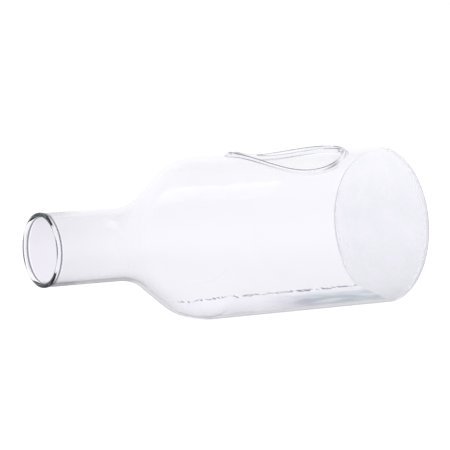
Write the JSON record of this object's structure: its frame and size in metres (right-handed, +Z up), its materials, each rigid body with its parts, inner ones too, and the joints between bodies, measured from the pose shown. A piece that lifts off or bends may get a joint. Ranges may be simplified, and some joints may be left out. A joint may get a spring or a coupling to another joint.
{
  "type": "lying glass bottle trap",
  "caption": "Clear glass bottle that rests on a flattened side, with an open neck and a teardrop opening in its upper wall.",
  "frame": {"origin": "middle of the bottle's box, on the plane that the flattened side rests on", "axes": "+X along the bottle from mouth to base, +Z up through the teardrop opening, Y across; the upright plane Y = 0 is the bottle's mirror plane"},
  "size_m": [0.31, 0.125, 0.1246],
  "materials": {
    "clear_glass": "clear blown glass, faint lavender grey, matte where the sole was pressed flat",
    "polished_edge": "clear fire-polished bead",
    "matte_glass": "finely speckled matte glass"
  },
  "bodies": {
    "root": {"mouth_lip": "polished_edge", "neck_tube": "clear_glass", "shoulder": "clear_glass", "body_tube": "clear_glass", "opening_rim": "polished_edge", "base_disc": "matte_glass"}
  },
  "joints": []
}
